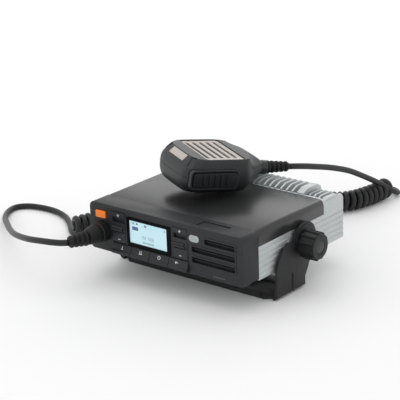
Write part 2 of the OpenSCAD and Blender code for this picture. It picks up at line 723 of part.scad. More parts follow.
module ptt_switch() {
    color("dimgray") mic_place() box([-16, 5.4 - mic_w / 2, -17], [-6, 10 - mic_w / 2, -11.2]);
}

module mic_capsule() {
    color("silver") mic_place() translate([0, 0, -9.5]) cylinder(r = 4.9, h = 5);
}

module mic_board() {
    color("darkgreen") mic_place() difference() {
        box([-26, -20, -11.2], [26, 20, -9.6]);
        for (p = mic_screw_spots) translate([p[0], p[1], -12]) cylinder(r = 3.3, h = 4);
    }
}

module mic_screws() {
    color("dimgray") mic_place() for (p = mic_screw_spots) translate([p[0], p[1], p[2] - 0.4]) difference() {
        union() {
            cylinder(r = 2.2, h = 1.2);
            cylinder(r = 1.1, h = 10);
        }
        translate([0, 0, -e]) cylinder(r = 0.9, h = 1, $fn = 6);
    }
}

module hanger_stud() {
    color("gainsboro") mic_place() translate([-8, 0, -mic_t]) {
        translate([0, 0, -4.4]) cylinder(r = 6, h = 1.6);
        translate([0, 0, -2.9]) cylinder(r = 3.4, h = 2.8);
        translate([0, 0, -0.2]) cylinder(r = 1.5, h = 4);
    }
}

module mic_strain_relief() {
    color([0.14, 0.14, 0.15]) mic_place() translate([neck_u + 0.1, 0, neck_w]) rotate([0, 90, 0])
        strain_relief(5.6, 4.2, 23.2, 5);
}

chassis();
top_cover();
front_panel();
display_window();
display_gasket();
lcd_module();
indicator_lens();
speaker_mesh();
speaker();
mic_jack();
keypad_board();
main_board();
rf_shield();
power_transistor();
board_screws();
bottom_screws();
antenna_connector();
power_inlet();
data_connector();
pivot_washers();
emergency_key();
front_key(key_xs[0]);  // key_1
front_key(key_xs[1]);  // key_2
front_key(key_xs[2]);  // key_ok
front_key(key_xs[3]);  // key_back
rocker(rocker_xs[0]);  // volume_rocker
rocker(rocker_xs[1]);  // channel_rocker
mounting_bracket();
knob(-1);  // knob_left
knob(1);  // knob_right
stud(-1);  // stud_left
stud(1);  // stud_right
knob_cap(-1);  // knob_cap_left
knob_cap(1);  // knob_cap_right
plug_lock_ring();
plug_shell();
plug_contacts();
plug_strain_relief();
cord_front_loop();
cord_coil();
cord_mic_lead();
mic_front_shell();
mic_back_shell();
mic_grille();
mic_cloth();
mic_label_plate();
ptt_frame();
ptt_button();
ptt_switch();
mic_capsule();
mic_board();
mic_screws();
hanger_stud();
mic_strain_relief();
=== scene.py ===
import json
import math

import bmesh
import bpy
from mathutils import Matrix, Vector

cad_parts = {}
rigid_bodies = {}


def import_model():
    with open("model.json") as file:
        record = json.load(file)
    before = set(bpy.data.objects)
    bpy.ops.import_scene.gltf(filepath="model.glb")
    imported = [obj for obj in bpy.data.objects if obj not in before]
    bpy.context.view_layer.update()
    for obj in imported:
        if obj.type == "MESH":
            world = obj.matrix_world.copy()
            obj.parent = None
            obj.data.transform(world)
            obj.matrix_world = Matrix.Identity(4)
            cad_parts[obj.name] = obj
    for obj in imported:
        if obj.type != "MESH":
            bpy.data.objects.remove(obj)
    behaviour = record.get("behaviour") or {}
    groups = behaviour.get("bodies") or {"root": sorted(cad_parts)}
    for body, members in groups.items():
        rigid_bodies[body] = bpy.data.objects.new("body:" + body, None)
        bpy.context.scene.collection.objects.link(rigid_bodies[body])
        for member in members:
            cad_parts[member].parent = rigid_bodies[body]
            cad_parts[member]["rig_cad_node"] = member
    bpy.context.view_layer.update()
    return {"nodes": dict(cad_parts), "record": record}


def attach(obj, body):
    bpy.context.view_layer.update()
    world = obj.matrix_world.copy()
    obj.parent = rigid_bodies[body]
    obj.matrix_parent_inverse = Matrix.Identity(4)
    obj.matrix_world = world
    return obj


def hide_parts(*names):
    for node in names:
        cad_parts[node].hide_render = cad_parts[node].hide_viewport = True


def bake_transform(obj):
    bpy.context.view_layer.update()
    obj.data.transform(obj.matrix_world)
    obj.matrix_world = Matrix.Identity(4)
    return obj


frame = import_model()
MM = 0.001


# ---------- camera, floor and light ----------

def add_camera():
    azimuth, elevation, roll = math.radians(39.88), math.radians(19.5), math.radians(-2.11)
    target, distance = Vector((-10.3, -10, 62.4)) * MM, 1.2909
    back = Vector((math.sin(azimuth) * math.cos(elevation), -math.cos(azimuth) * math.cos(elevation),
                   math.sin(elevation)))
    right = Vector((math.cos(azimuth), math.sin(azimuth), 0))
    up = back.cross(right)
    turned_right = math.cos(roll) * right + math.sin(roll) * up
    turned_up = -math.sin(roll) * right + math.cos(roll) * up
    data = bpy.data.cameras.new("camera")
    data.lens = 137.14
    data.sensor_width = 36
    data.clip_start, data.clip_end = 0.05, 50
    cam = bpy.data.objects.new("camera", data)
    bpy.context.scene.collection.objects.link(cam)
    place = target + back * distance
    cam.matrix_world = Matrix((
        (turned_right.x, turned_up.x, back.x, place.x),
        (turned_right.y, turned_up.y, back.y, place.y),
        (turned_right.z, turned_up.z, back.z, place.z),
        (0, 0, 0, 1)))
    bpy.context.scene.camera = cam


add_camera()


# ---------- mesh helpers ----------

def new_object(name, mesh):
    obj = bpy.data.objects.new(name, mesh)
    bpy.context.scene.collection.objects.link(obj)
    return obj


def mesh_object(name, verts, faces, smooth=True):
    mesh = bpy.data.meshes.new(name)
    mesh.from_pydata([tuple(v) for v in verts], [], faces)
    mesh.update()
    for p in mesh.polygons:
        p.use_smooth = smooth
    return new_object(name, mesh)


def in_metres(points):
    return [Vector(p) * MM for p in points]


def ring_faces(rings, sides):
    """Faces of a closed skin over rings of vertices that follow each other, with a cap at both ends."""
    faces = []
    for i in range(rings - 1):
        for k in range(sides):
            n = (k + 1) % sides
            faces.append((i * sides + k, i * sides + n, (i + 1) * sides + n, (i + 1) * sides + k))
    faces.append(tuple(range(sides - 1, -1, -1)))
    faces.append(tuple((rings - 1) * sides + k for k in range(sides)))
    return faces


def add_weld(obj, distance):
    weld = obj.modifiers.new("weld", "WELD")
    weld.merge_threshold = distance * MM


def catmull(points, steps):
    """Smooth curve through all the points, with a number of steps from each to the next."""
    pts = [Vector(p) for p in points]
    ends = [2 * pts[0] - pts[1]] + pts + [2 * pts[-1] - pts[-2]]
    out = []
    for i in range(1, len(pts)):
        a, b, c, d = ends[i - 1:i + 3]
        for k in range(steps):
            t = k / steps
            out.append(0.5 * (2 * b + (c - a) * t + (2 * a - 5 * b + 4 * c - d) * t * t
                              + (3 * b - a - 3 * c + d) * t ** 3))
    return out + [pts[-1]]


def resample(points, step):
    """Points at even distances along a line, about a step apart."""
    lengths = [0]
    for a, b in zip(points, points[1:]):
        lengths.append(lengths[-1] + (b - a).length)
    count = max(2, round(lengths[-1] / step))
    out, j = [], 0
    for k in range(count + 1):
        at = lengths[-1] * k / count
        while j < len(points) - 2 and lengths[j + 1] < at:
            j += 1
        t = (at - lengths[j]) / max(lengths[j + 1] - lengths[j], 1e-12)
        out.append(points[j].lerp(points[j + 1], min(1, t)))
    return out


def line_length(points):
    return sum((b - a).length for a, b in zip(points, points[1:]))


# ---------- cord ----------

# Routes, pitches and lengths are in millimetres. coil_route is the middle line of the turns. AXIS_SPAN is how
# many points of that line its direction is taken over, and TURN_POINTS is how many points a turn has.
CORD_ACROSS, COIL_ACROSS = 5.4, 19.2
CORD_D = CORD_ACROSS * MM
COIL_R = (COIL_ACROSS - CORD_ACROSS) / 2 * MM
AXIS_STEP, LINE_STEP, LEAD_STEP = 0.4 * MM, 1.6 * MM, 2.2 * MM
AXIS_SPAN = 10
TURN_POINTS = 22
CURVE_STEPS = 6
TUBE_SIDES, LATHE_SIDES = 16, 40
loop_route = [(-72, -109, 42), (-77, -113, 42), (-85, -115, 41.5), (-98, -115, 40), (-114, -112, 37),
              (-133, -104, 32.5), (-153, -93, 27.5), (-173, -79, 22.5), (-192, -64, 17.5), (-210, -49, 12.5),
              (-227, -35, 8), (-241, -21, 4.8), (-251.5, -6, 3.1), (-253, 6, 2.9), (-244, 14.5, 2.9),
              (-228, 18, 2.9), (-212, 17.5, 2.9), (-194, 11.5, 2.9), (-177.5, 0, 2.9), (-164.5, -11.4, 2.9)]
coil_route = [(-156, -17, 9.9), (-152.2, -5.5, 9.9), (-146.5, 10, 9.9), (-137, 36, 9.9), (-123, 68, 9.9),
              (-103, 97, 9.9), (-79, 122, 9.9), (-53, 141, 9.9), (-28, 154, 9.9), (-8, 164, 9.9),
              (8, 174, 9.9), (16, 186, 9.9), (20, 202, 9.9), (22, 218, 9.9), (21.6, 229, 9.9)]
hairpin = [(16, 231.2, 14.8), (13.6, 236.4, 9.6), (17, 242, 5.2), (23.6, 244.4, 3.8)]
lead_route = [(30.2, 238, 4.6), (29.6, 231, 8.4), (26.8, 223, 14), (24, 213, 20.5), (22.6, 200, 28),
              (22.2, 185, 36), (22, 168, 44.5), (21.8, 150, 51.7), (21.6, 132, 58), (21.2, 114, 63.5),
              (20.2, 101, 67.3), (18.5, 90, 70.05), (15.39, 82.7, 71.38)]

# Spacing of the turns: at the start, in the middle, where the coil opens again, and in its last part. The turns
# get closer by TIGHTENING for each millimetre from the start.
FIRST_PITCH, TIGHT_PITCH, OPEN_PITCH, LAST_PITCH = 7.4, 5.9, 6.9, 8.2
LAST_PART, OPEN_PART = 12, 50
TIGHTENING = 0.12


def pitch_at(at, total):
    """Distance between turns, which are close together but for both ends of the curly part."""
    left = total - at
    if left < LAST_PART:
        return LAST_PITCH
    if left < OPEN_PART:
        return OPEN_PITCH + (TIGHT_PITCH - OPEN_PITCH) * (left - LAST_PART) / (OPEN_PART - LAST_PART)
    return max(TIGHT_PITCH, FIRST_PITCH - at * TIGHTENING)


def helix(axis, start_angle, end_angle):
    """Turns of cord round an axis line, a little wide, because the line is smoothed after this.

    The whole count is stretched a little, so that it ends at an angle.
    """
    fine = resample(axis, AXIS_STEP)
    total = len(fine) - 1
    step = line_length(fine) / total / MM
    swept = [0.0]
    for i in range(total):
        swept.append(swept[-1] + 360 * step / pitch_at(i * step, total * step))
    turns = round((swept[-1] - (end_angle - start_angle)) / 360)
    whole = 360 * turns + end_angle - start_angle
    count = round(whole / 360 * TURN_POINTS)
    radius = COIL_R / math.cos(LINE_STEP / COIL_R)
    out, i = [], 0
    for k in range(count + 1):
        wanted = swept[-1] * k / count
        while i < total - 1 and swept[i + 1] < wanted:
            i += 1
        part = min(1, (wanted - swept[i]) / (swept[i + 1] - swept[i]))
        centre = fine[i].lerp(fine[i + 1], part)
        tangent = (fine[min(i + AXIS_SPAN, total)] - fine[max(i - AXIS_SPAN, 0)]).normalized()
        side = tangent.cross(Vector((0, 0, 1))).normalized()
        over = side.cross(tangent)
        angle = math.radians(start_angle + whole * k / count)
        out.append(centre + radius * (math.cos(angle) * side + math.sin(angle) * over))
    return out


def main_cord_line():
    """Free loop, curly part and hairpin in one line, smoothed so that they run into each other."""
    coil = helix(catmull(in_metres(coil_route), 8), -90, 90)
    loop = catmull(in_metres(loop_route) + [coil[0], coil[3]], CURVE_STEPS)
    lead_in = loop[:-CURVE_STEPS]
    tail = catmull([coil[-3], coil[-1]] + in_metres(hairpin + lead_route[:2]), CURVE_STEPS)
    line = resample(lead_in[:-1] + coil[:-1] + tail[CURVE_STEPS:-CURVE_STEPS], LINE_STEP)
    for _ in range(2):
        line = [line[0]] + [(a + 2 * b + c) / 4 for a, b, c in zip(line, line[1:], line[2:])] + [line[-1]]
    return line


def tube_mesh(name, line, radius):
    """Round tube along a line, with frames carried along it so that it doesn't twist."""
    verts = []
    tangent = (line[1] - line[0]).normalized()
    normal = tangent.orthogonal().normalized()
    for i, p in enumerate(line):
        t = (line[min(i + 1, len(line) - 1)] - line[max(i - 1, 0)]).normalized()
        normal = (normal - normal.dot(t) * t).normalized()
        other = t.cross(normal)
        for k in range(TUBE_SIDES):
            a = 2 * math.pi * k / TUBE_SIDES
            verts.append(p + radius * (math.cos(a) * normal + math.sin(a) * other))
    return mesh_object(name, verts, ring_faces(len(line), TUBE_SIDES))


def lathe(name, profile, place):
    """Round piece from (distance along +Z, radius) pairs in millimetres, closed at both ends."""
    angles = [2 * math.pi * k / LATHE_SIDES for k in range(LATHE_SIDES)]
    verts = [place @ (Vector((r * math.cos(a), r * math.sin(a), z)) * MM) for z, r in profile for a in angles]
    return mesh_object(name, verts, ring_faces(len(profile), LATHE_SIDES))


def ribbed(base_r, end_r, length, ribs, groove_r):
    """Profile of a strain relief with soft ribs, which thins towards the cord."""
    thin_r, lip_r, end_lip_r = 3.15, 3.0, 2.8
    step = length / ribs
    profile = [(0, groove_r)]
    for k in range(ribs):
        r = base_r + (end_r - base_r) * k / (ribs - 1)
        groove = groove_r + (thin_r - groove_r) * k / ribs
        for at, radius in ((0.02, groove), (0.06, r - 0.55), (0.14, r - 0.12), (0.24, r), (0.46, r - 0.04),
                           (0.58, r - 0.2), (0.66, r - 0.65), (0.7, groove), (0.97, groove)):
            profile.append(((k + at) * step, radius))
    return profile[:-1] + [(length - 0.1, lip_r), (length, end_lip_r)]


def rotation(about_x, about_y, about_z):
    """Turns about X, then Y, then Z, in degrees."""
    return (Matrix.Rotation(math.radians(about_z), 4, "Z") @ Matrix.Rotation(math.radians(about_y), 4, "Y")
            @ Matrix.Rotation(math.radians(about_x), 4, "X"))


def turned(place, turn):
    """Frame at a place in millimetres, with a turn."""
    return Matrix.Translation(Vector(place) * MM) @ turn


MIC = turned((-14.5, 13.5, 99.5), rotation(3, 9, 66))


def add_cords():
    line = main_cord_line()
    cord = tube_mesh("cord", line, CORD_D / 2)
    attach(cord, "radio")
    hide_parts("cord_front_loop", "cord_coil")
    lead_line = resample(catmull([line[-1]] + in_metres(lead_route[1:]), 8), LEAD_STEP)
    lead = tube_mesh("mic_lead", lead_line, CORD_D / 2)
    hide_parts("cord_mic_lead")
    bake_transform(lead)
    return cord, lead


cord, mic_lead = add_cords()


# ---------- soft and moulded pieces ----------

def stand_for(obj, body, slot_name, *nodes):
    """Makes a piece ride on a body in place of CAD nodes."""
    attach(obj, body)
    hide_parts(*nodes)
    return obj


def add_plug():
    forward = Matrix.Rotation(math.radians(90), 4, "X")
    place = turned((-67, -70, 42), forward)
    body = [(5.5, 5.4), (5.5, 8.0), (5.8, 8.5), (6.4, 8.7), (8.6, 8.65), (8.8, 8.1), (9.4, 8.1), (9.6, 8.5),
            (12, 8.3), (15, 7.8), (18, 7.15), (20.5, 6.55), (21.4, 6.1), (21.9, 5.5), (22, 4.6)]
    shell = stand_for(lathe("plug_body", body, place), "radio", "black_rubber", "plug_shell")
    aim = Matrix.Rotation(math.radians(-16.4), 4, "Z") @ forward
    relief = lathe("plug_relief", ribbed(6.6, 5.1, 17.6, 4, 4.3), turned((-67, -92, 42), aim))
    return shell, stand_for(relief, "radio", "black_rubber", "plug_strain_relief")


# Levels of the microphone's body: height, how far its sides are in, where its head and its neck end.
MIC_LEVELS = [(-30, 9.2, 29.8, 16), (-29.5, 7, 32, 19), (-28.2, 4.3, 34.4, 24.5), (-26, 2.2, 36, 31.5),
              (-23, 0.8, 37, 43.5), (-20, 0.1, 37.5, 48.6), (-15.5, 0, 37.8, 49.5), (-11, 0.2, 37.7, 49.2),
              (-8, 0.45, 36.9, 46.4), (-5, 0.8, 35.1, 41.4), (-2.6, 1.05, 32.5, 37), (-0.6, 1.5, 30.4, 33),
              (0.4, 1.8, 29.3, 31), (0.85, 2.3, 28.8, 30)]


def mic_outline(inset, head, tail):
    """Outline of the microphone at one level, with its corners cut round three times."""
    wide = 31 - inset
    k = max(0.1, (tail - 22) / 32)
    half = [(-head, 19.5 - 0.6 * inset), (2.4 - head, 26 - inset), (6 - head, 28.8 - inset),
            (-20, wide - 0.3), (-8, wide), (min(17, tail - 8), wide), (min(25, tail - 2), wide - 4),
            (min(22 + 12 * k, tail - 1), 19 - 0.8 * inset),
            (min(22 + 24 * k, tail - 0.3), 10.5 - 0.5 * inset), (tail, 6.2 - 0.3 * inset)]
    ring = half + [(x, -y) for x, y in reversed(half)]
    for _ in range(3):
        ring = [((1 - t) * x0 + t * x1, (1 - t) * y0 + t * y1)
                for (x0, y0), (x1, y1) in zip(ring, ring[1:] + ring[:1]) for t in (0.25, 0.75)]
    return ring


def mic_half(name, low, high):
    """Part of the microphone's rounded body between two heights, with its neck for the cord."""
    levels = []
    for a, b in zip(MIC_LEVELS, MIC_LEVELS[1:]):
        levels += [[p + (q - p) * t for p, q in zip(a, b)] for t in (0, 0.25, 0.5, 0.75)]
    levels.append(list(MIC_LEVELS[-1]))
    smooth = [levels[0]] + [[(a[i] + 2 * b[i] + c[i]) / 4 for i in range(4)]
                            for a, b, c in zip(levels, levels[1:], levels[2:])] + [levels[-1]]
    below = [v for v in smooth if v[0] < low]
    above = [v for v in smooth if v[0] > high]
    kept = [v for v in smooth if low <= v[0] <= high]
    if below:
        kept.insert(0, [low] + below[-1][1:])
    if above:
        kept.append([high] + above[0][1:])
    verts, faces = [], []
    for w, inset, head, tail in kept:
        ring = mic_outline(inset, head, tail)
        verts += [Vector((x, y, w)) * MM for x, y in ring]
    n = len(ring)
    for i in range(0, (len(kept) - 1) * n, n):
        faces += [(i + k, i + n + k, i + n + (k + 1) % n, i + (k + 1) % n) for k in range(n)]
    faces += [tuple(range(n)), tuple((len(kept) - 1) * n + k for k in range(n - 1, -1, -1))]
    obj = mesh_object(name, verts, faces)
    obj.matrix_world = MIC
    return obj


def block(name, centre, size, turn=(0, 0, 0), corner=0.0, axis="z"):
    """Cutting block in the microphone's frame, with round corners seen along one axis."""
    mesh = bpy.data.meshes.new(name)
    bm = bmesh.new()
    bmesh.ops.create_cube(bm, size=1)
    for v in bm.verts:
        v.co = Vector([c * s * MM for c, s in zip(v.co, size)])
    if corner:
        i = "xyz".index(axis)
        along = [e for e in bm.edges if abs((e.verts[0].co - e.verts[1].co)[i]) > 0.5 * size[i] * MM]
        bmesh.ops.bevel(bm, geom=along, offset=corner * MM, segments=5, affect="EDGES", profile=0.5)
    bm.to_mesh(mesh)
    bm.free()
    obj = new_object(name, mesh)
    obj.matrix_world = MIC @ Matrix.Translation(Vector(centre) * MM) @ rotation(*turn)
    return obj


def carve(obj, cutters):
    """Cuts the blocks out of obj for good, and rounds the edges that this leaves."""
    for c in cutters:
        cut = obj.modifiers.new("cut", "BOOLEAN")
        cut.operation = "DIFFERENCE"
        cut.solver = "EXACT"
        cut.object = c
    bpy.context.view_layer.update()
    shape = bpy.data.meshes.new_from_object(obj.evaluated_get(bpy.context.evaluated_depsgraph_get()))
    obj.modifiers.clear()
    obj.data = shape
    for c in cutters:
        bpy.data.objects.remove(c)
    add_weld(obj, 0.01)
    bevel = obj.modifiers.new("bevel", "BEVEL")
    bevel.width = 0.3 * MM
    bevel.segments = 2
    bevel.limit_method = "ANGLE"
    bevel.angle_limit = math.radians(35)
    bevel.harden_normals = True


# Heights in the microphone's frame: the seam between its shells, the talk button's middle and the neck's axis.
SEAM_W, SEAM_GAP = -15, 0.12
TALK_W, NECK_W = -16, -16


def talk_recess():
    """Block that cuts the talk button's recess, which goes across both shells."""
    return block("cut_talk", (-11, -31, TALK_W), (46, 12.4, 18), corner=4.2, axis="y")


def add_microphone():
    front = mic_half("mic_front", SEAM_W + SEAM_GAP, 1)
    cuts = [block("cut_grille", (0, 0, 2), (37, 55.4, 10), corner=3), talk_recess(),
            block("cut_label", (-31.9, 0, -2.05), (6.8, 26, 1.6), (0, -43.7, 0), 0.6)]
    for s in (1, -1):
        cuts.append(block("cut_corner", (-32.1, -24.4 * s, -3.5), (14.5, 5.4, 3), (0, -42, 33 * s), 0.6))
    carve(front, cuts)
    back = mic_half("mic_back", -31, SEAM_W - SEAM_GAP)
    carve(back, [talk_recess(), block("cut_line", (-34, 0, -19.4), (6, 40, 0.5))])
    stand_for(front, "microphone", "mic_plastic", "mic_front_shell")
    stand_for(back, "microphone", "mic_plastic", "mic_back_shell")
    along = Matrix.Rotation(math.radians(90), 4, "Y")
    neck = lathe("mic_neck", [(0, 6.6), (4, 6.7), (8, 6.4), (13.6, 6.1), (14.6, 5.9), (15, 5.2)],
                 MIC @ turned((40, 0, NECK_W), along))
    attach(neck, "microphone")
    relief = lathe("mic_relief", ribbed(5.7, 4.6, 23.2, 5, 4.2), MIC @ turned((55.1, 0, NECK_W), along))
    stand_for(relief, "microphone", "black_rubber", "mic_strain_relief")
    return front, back, neck, relief


plug_body, plug_relief = add_plug()
mic_front, mic_back, mic_neck, mic_relief = add_microphone()


# ---------- materials ----------

class Nodes:
    """A material's node tree, with short calls for the nodes that are used more than once."""

    def __init__(self, name):
        self.material = bpy.data.materials.new(name)
        self.material.use_nodes = True
        self.tree = self.material.node_tree
        self.shader = self.tree.nodes["Principled BSDF"]
        self.place = self.add("ShaderNodeTexCoord").outputs["Object"]

    def add(self, kind, **settings):
        node = self.tree.nodes.new(kind)
        for key, value in settings.items():
            if key in node.inputs:
                node.inputs[key].default_value = value
            else:
                setattr(node, key, value)
        return node

    def link(self, a, b):
        self.tree.links.new(a, b)

    def noise(self, scale, detail=2.0, stretch=None, roughness=0.5):
        source = self.place
        if stretch:
            mapping = self.add("ShaderNodeMapping")
            mapping.inputs["Scale"].default_value = stretch
            self.link(self.place, mapping.inputs["Vector"])
            source = mapping.outputs["Vector"]
        node = self.add("ShaderNodeTexNoise", Scale=scale, Detail=detail, Roughness=roughness)
        self.link(source, node.inputs["Vector"])
        return node.outputs["Fac"]

    def remap(self, value, low, high, to_low, to_high):
        node = self.add("ShaderNodeMapRange")
        for key, number in (("From Min", low), ("From Max", high), ("To Min", to_low), ("To Max", to_high)):
            node.inputs[key].default_value = number
        self.link(value, node.inputs["Value"])
        return node.outputs["Result"]

    def mix(self, share, a, b, mode="MIX"):
        node = self.add("ShaderNodeMix", data_type="RGBA", blend_type=mode)
        ins = [i for i in node.inputs if i.type == "RGBA"]
        for socket, value in zip(ins, (a, b)):
            if isinstance(value, tuple):
                socket.default_value = (*value, 1)
            else:
                self.link(value, socket)
        if isinstance(share, float):
            node.inputs[0].default_value = share
        else:
            self.link(share, node.inputs[0])
        return [o for o in node.outputs if o.type == "RGBA"][0]

    def maths(self, operation, a, b):
        node = self.add("ShaderNodeMath", operation=operation)
        for i, value in enumerate((a, b)):
            if isinstance(value, (int, float)):
                node.inputs[i].default_value = value
            else:
                self.link(value, node.inputs[i])
        return node.outputs[0]

    def bump(self, height, strength, distance, below=None):
        node = self.add("ShaderNodeBump")
        node.inputs["Strength"].default_value = strength
        node.inputs["Distance"].default_value = distance
        self.link(height, node.inputs["Height"])
        if below is not None:
            self.link(below, node.inputs["Normal"])
        return node.outputs["Normal"]


def tint(color, factor):
    return tuple(min(1, c * factor) for c in color)


def surface(name, color, rough, metallic=0.0, grain=2200, grain_depth=0.02, wave_depth=0.0, specular=0.5,
            vary=0.12, rough_vary=0.08, scuff=0.25, stretch=None, coat=0.0):
    """Moulded, painted or machined surface: fine grain, soft mottling, uneven gloss and faint scuffs."""
    n = Nodes(name)
    cloud = n.noise(38, 3)
    patch = n.noise(9, 2)
    fine = n.noise(grain, 2, stretch)
    dust = n.noise(240, 5, None, 0.7)
    base = n.mix(n.remap(cloud, 0.3, 0.7, 0, 1), tint(color, 1 - vary), tint(color, 1 + vary))
    marks = n.remap(dust, 0.6, 0.72, 0, scuff)
    base = n.mix(marks, base, tint(tuple(0.7 * c + 0.02 for c in color), 1.35))
    grained = n.mix(n.remap(fine, 0.35, 0.65, 0, 0.5), base, tint(color, 1 - 1.5 * vary))
    n.link(grained, n.shader.inputs["Base Color"])
    gloss = n.maths("ADD", n.remap(patch, 0.3, 0.7, rough - rough_vary, rough + rough_vary),
                    n.remap(fine, 0.3, 0.7, -0.04, 0.04))
    gloss = n.maths("ADD", gloss, n.maths("MULTIPLY", marks, 0.5))
    n.link(gloss, n.shader.inputs["Roughness"])
    normal = n.bump(fine, 0.6, grain_depth * MM)
    if wave_depth:
        normal = n.bump(cloud, 0.5, wave_depth * MM, normal)
    n.link(normal, n.shader.inputs["Normal"])
    n.shader.inputs["Metallic"].default_value = metallic
    n.shader.inputs["Specular IOR Level"].default_value = specular
    n.shader.inputs["Coat Weight"].default_value = coat
    n.shader.inputs["Coat Roughness"].default_value = 0.25
    return n.material


def cloth_surface(name, color):
    n = Nodes(name)
    over = n.add("ShaderNodeTexWave", Scale=520, bands_direction="X", Distortion=0.4)
    under = n.add("ShaderNodeTexWave", Scale=520, bands_direction="Z", Distortion=0.4)
    for w in (over, under):
        n.link(n.place, w.inputs["Vector"])
    weave = n.maths("MULTIPLY", over.outputs["Fac"], under.outputs["Fac"])
    n.link(n.mix(weave, tint(color, 0.4), tint(color, 1.5)), n.shader.inputs["Base Color"])
    n.link(n.bump(weave, 0.8, 0.1 * MM), n.shader.inputs["Normal"])
    n.link(n.remap(n.noise(300, 2), 0.3, 0.7, 0.75, 0.95), n.shader.inputs["Roughness"])
    return n.material


def lcd_surface(name):
    n = Nodes(name)
    cloud = n.noise(40, 2)
    glow = n.mix(n.remap(cloud, 0.3, 0.7, 0, 1), (0.56, 0.80, 0.90), (0.64, 0.87, 0.93))
    cells = n.add("ShaderNodeTexChecker", Scale=3000)
    n.link(n.place, cells.inputs["Vector"])
    fine = n.mix(n.remap(cells.outputs["Fac"], 0, 1, 0, 0.06), glow, (0.4, 0.6, 0.66))
    n.link(n.mix(0.7, fine, (0.05, 0.07, 0.08)), n.shader.inputs["Base Color"])
    n.link(fine, n.shader.inputs["Emission Color"])
    n.shader.inputs["Emission Strength"].default_value = 0.74
    n.link(n.remap(cloud, 0.3, 0.7, 0.25, 0.4), n.shader.inputs["Roughness"])
    return n.material


def window_surface(name):
    n = Nodes(name)
    n.link(n.mix(n.remap(n.noise(60, 2), 0.3, 0.7, 0, 1), (0.97, 0.98, 0.98), (0.93, 0.95, 0.95)),
           n.shader.inputs["Base Color"])
    n.link(n.remap(n.noise(200, 4), 0.4, 0.7, 0.03, 0.09), n.shader.inputs["Roughness"])
    n.link(n.bump(n.noise(90, 1), 0.1, 0.01 * MM), n.shader.inputs["Normal"])
    n.shader.inputs["Transmission Weight"].default_value = 1.0
    n.shader.inputs["IOR"].default_value = 1.15
    return n.material


MATERIALS = {
    "cast_aluminium": surface("cast_aluminium", (0.50, 0.53, 0.535), 0.42, 0.55, grain=1500, grain_depth=0.05,
                              vary=0.05, specular=0.5, scuff=0.12),
    "cover_paint": surface("cover_paint", (0.020, 0.0205, 0.0215), 0.30, grain=2600, grain_depth=0.02,
                           specular=0.5, vary=0.1, rough_vary=0.04, scuff=0.15),
    "panel_plastic": surface("panel_plastic", (0.021, 0.022, 0.024), 0.45, grain=2400, grain_depth=0.03,
                             specular=0.3, rough_vary=0.04),
    "window_acrylic": window_surface("window_acrylic"),
    "black_foam": surface("black_foam", (0.004, 0.004, 0.005), 0.5, grain=3000, grain_depth=0.02,
                          specular=0.3),
    "lcd_glass": lcd_surface("lcd_glass"),
    "lens_plastic": surface("lens_plastic", (0.40, 0.435, 0.44), 0.3, grain=900, vary=0.06, specular=0.5),
    "speaker_cloth": cloth_surface("speaker_cloth", (0.006, 0.006, 0.007)),
    "speaker_steel": surface("speaker_steel", (0.12, 0.12, 0.125), 0.4, 0.3),
    "connector_plastic": surface("connector_plastic", (0.009, 0.009, 0.010), 0.45, grain=2200, specular=0.3),
    "circuit_board": surface("circuit_board", (0.02, 0.16, 0.07), 0.4),
    "screw_steel": surface("screw_steel", (0.62, 0.62, 0.60), 0.3, 1.0, grain=1800, stretch=(1, 12, 1)),
    "dark_steel": surface("dark_steel", (0.03, 0.03, 0.032), 0.4, 0.4, grain=1800),
    "connector_metal": surface("connector_metal", (0.70, 0.68, 0.62), 0.22, 1.0, grain=1200,
                               grain_depth=0.01),
    "black_rubber": surface("black_rubber", (0.008, 0.008, 0.009), 0.55, grain=1500, grain_depth=0.04,
                            specular=0.3),
    "orange_plastic": surface("orange_plastic", (1.0, 0.235, 0.02), 0.4, grain=1900, vary=0.06, scuff=0.05),
    "key_plastic": surface("key_plastic", (0.021, 0.022, 0.024), 0.42, grain=2600, grain_depth=0.02,
                           specular=0.3, rough_vary=0.04),
    "bracket_paint": surface("bracket_paint", (0.018, 0.018, 0.0195), 0.45, grain=900, grain_depth=0.06,
                             specular=0.3),
    "knob_plastic": surface("knob_plastic", (0.011, 0.0115, 0.0125), 0.45, grain=2000, grain_depth=0.04,
                            specular=0.3),
    "knob_cap_plastic": surface("knob_cap_plastic", (0.017, 0.0175, 0.0185), 0.42, grain=1700),
    "contact_gold": surface("contact_gold", (0.80, 0.58, 0.24), 0.25, 1.0, vary=0.05),
    "cord_jacket": surface("cord_jacket", (0.017, 0.0175, 0.0185), 0.42, grain=1600, grain_depth=0.03,
                           specular=0.3, rough_vary=0.05),
    "mic_plastic": surface("mic_plastic", (0.0105, 0.012, 0.0135), 0.38, grain=2400, grain_depth=0.02,
                           specular=0.5, rough_vary=0.05),
    "grille_paint": surface("grille_paint", (0.50, 0.455, 0.425), 0.45, 0.15, grain=1400, grain_depth=0.06,
                            vary=0.05, scuff=0.1),
    "ptt_rubber": surface("ptt_rubber", (0.009, 0.0105, 0.012), 0.42, grain=1500, grain_depth=0.03,
                          specular=0.3),
}


def ink(name, color, vary):
    return surface(name, color, 0.5, grain=2500, grain_depth=0.01, vary=vary)


LEGEND = ink("legend_ink", (0.72, 0.73, 0.73), 0.04)
BORDER = surface("window_border", (0.002, 0.002, 0.003), 0.3, grain=2500, grain_depth=0.002, specular=0.06,
                 rough_vary=0.03, vary=0.1, scuff=0.02)
LCD_INK = ink("lcd_ink", (0.10, 0.16, 0.36), 0.1)
LENS_INK = ink("lens_ink", (0.30, 0.33, 0.34), 0.05)
MARK_INK = ink("mark_ink", (0.16, 0.165, 0.17), 0.05)
LCD_PALE = ink("lcd_pale_ink", (0.38, 0.50, 0.62), 0.1)


def give(obj, slot_name):
    """Gives a piece or a CAD node the material of a slot."""
    obj.data.materials.clear()
    obj.data.materials.append(MATERIALS[slot_name])


